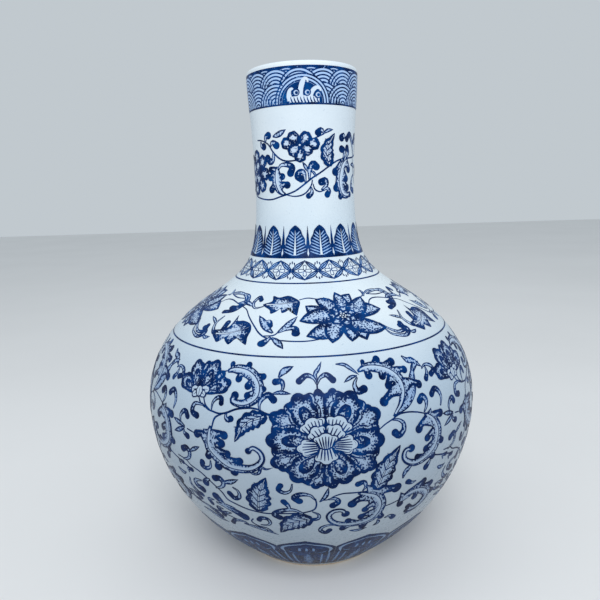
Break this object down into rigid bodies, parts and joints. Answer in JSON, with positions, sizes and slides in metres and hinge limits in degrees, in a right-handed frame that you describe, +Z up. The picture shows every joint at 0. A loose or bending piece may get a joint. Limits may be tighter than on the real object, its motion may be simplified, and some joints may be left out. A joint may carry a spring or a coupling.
{
  "type": "porcelain vase",
  "caption": "Globular bottle vase in glazed porcelain with a tall cylindrical neck, rounded lip and a recessed base on a bare foot ring, painted with scrolling flowers in blue.",
  "frame": {"origin": "centre of the standing face of the foot ring", "axes": "+Z up along the axis of the vase; -Y is the painted front"},
  "size_m": [0.2284, 0.2284, 0.33],
  "materials": {
    "porcelain": "matte",
    "bare_clay": "matte",
    "slip": "matte",
    "cobalt": "satin",
    "glaze": "satin"
  },
  "bodies": {
    "root": {"foot_ring": "bare_clay", "lower_body": "porcelain", "upper_body": "porcelain", "neck": "porcelain", "foot_slip_joint": "slip", "belly_slip_joint": "slip", "neck_slip_joint": "slip", "cobalt_rings": "cobalt", "outer_glaze": "glaze", "inner_glaze": "glaze", "base_glaze": "glaze"}
  },
  "joints": []
}
